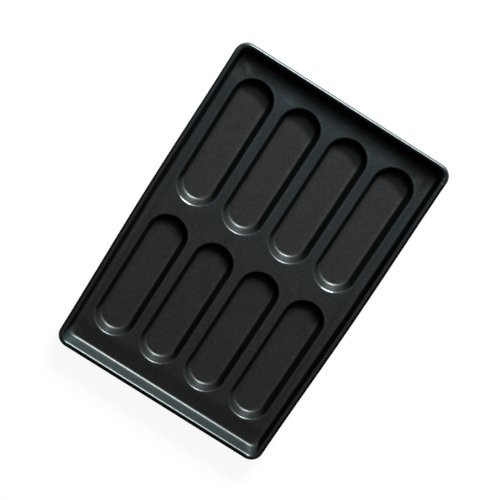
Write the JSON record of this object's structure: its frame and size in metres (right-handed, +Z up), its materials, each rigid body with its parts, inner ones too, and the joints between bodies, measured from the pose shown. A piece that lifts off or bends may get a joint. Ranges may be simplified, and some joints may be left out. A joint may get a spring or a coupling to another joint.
{
  "type": "finger roll baking tray",
  "caption": "Rectangular baking tray with rows of round-ended drawn cavities for finger rolls, sloping walls and a rim rolled round a wire.",
  "frame": {"origin": "centre of the footprint, on the surface that the undersides of the cavities rest on", "axes": "+X along the tray's length and the length of its cavities, +Y across its width, +Z up out of the open side"},
  "size_m": [0.6, 0.4, 0.0502],
  "materials": {
    "pan_coating": "black satin non-stick coating over pressed steel sheet",
    "wire_steel": "bare drawn steel wire"
  },
  "bodies": {
    "root": {"pan_sheet": "pan_coating", "rim_wire": "wire_steel"}
  },
  "joints": []
}
